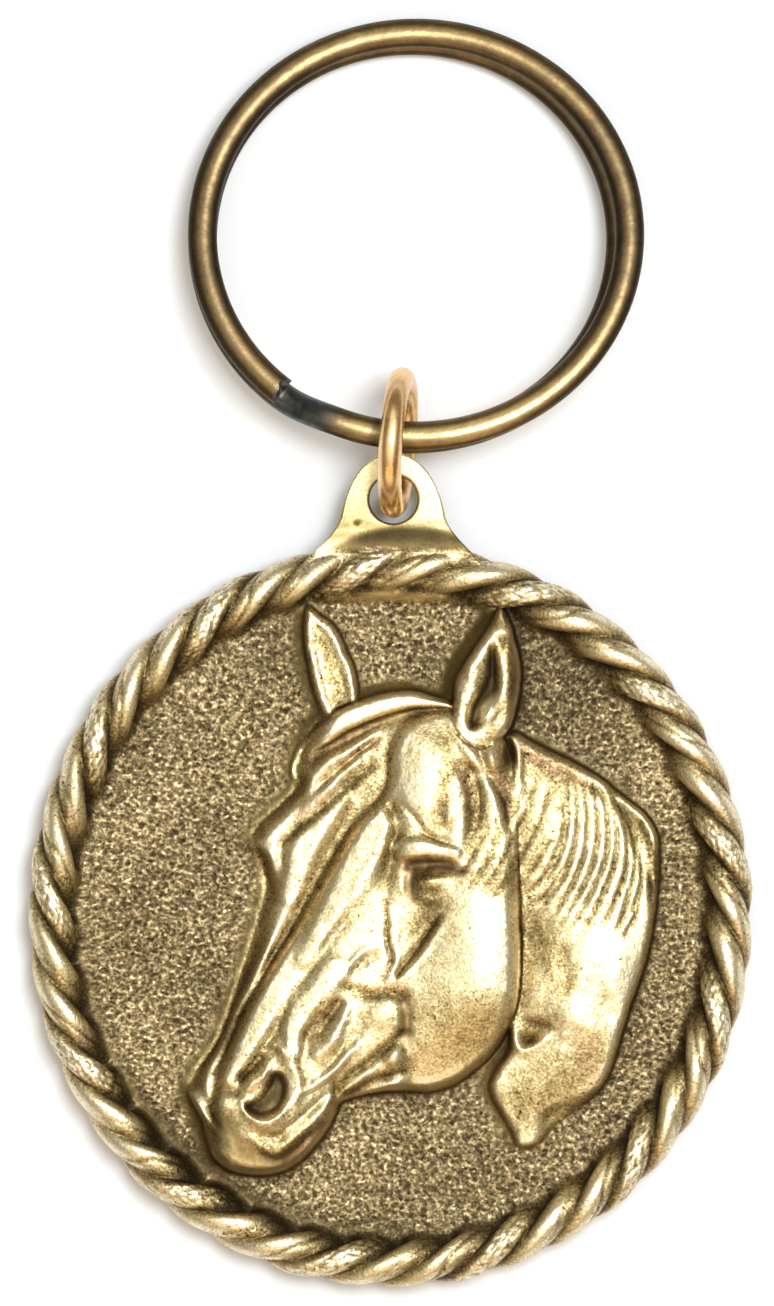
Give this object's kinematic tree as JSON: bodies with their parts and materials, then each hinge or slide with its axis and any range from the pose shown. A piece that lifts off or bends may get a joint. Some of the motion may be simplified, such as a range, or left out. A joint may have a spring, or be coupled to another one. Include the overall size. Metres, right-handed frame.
{
  "type": "key ring with horse head medallion",
  "caption": "Cast brass medallion with a rope border and a horse's head in relief, on a jump ring and a split key ring, lying on its back.",
  "frame": {"origin": "middle of the medallion's flat back, the face that it lies on", "axes": "+Z out of the face with the relief, +Y towards the lug and the rings, +X to the right of the face"},
  "size_m": [0.0393, 0.069, 0.0082],
  "materials": {
    "antique_brass": "antiqued cast brass, dark in the recesses and rubbed bright on the high places",
    "copper_wire": "bright rose-gold wire",
    "bronzed_steel": "antique brass plating over spring steel, worn to grey at the cut end"
  },
  "bodies": {
    "root": {"medallion": "antique_brass", "jump_ring": "copper_wire", "split_ring": "bronzed_steel"}
  },
  "joints": []
}
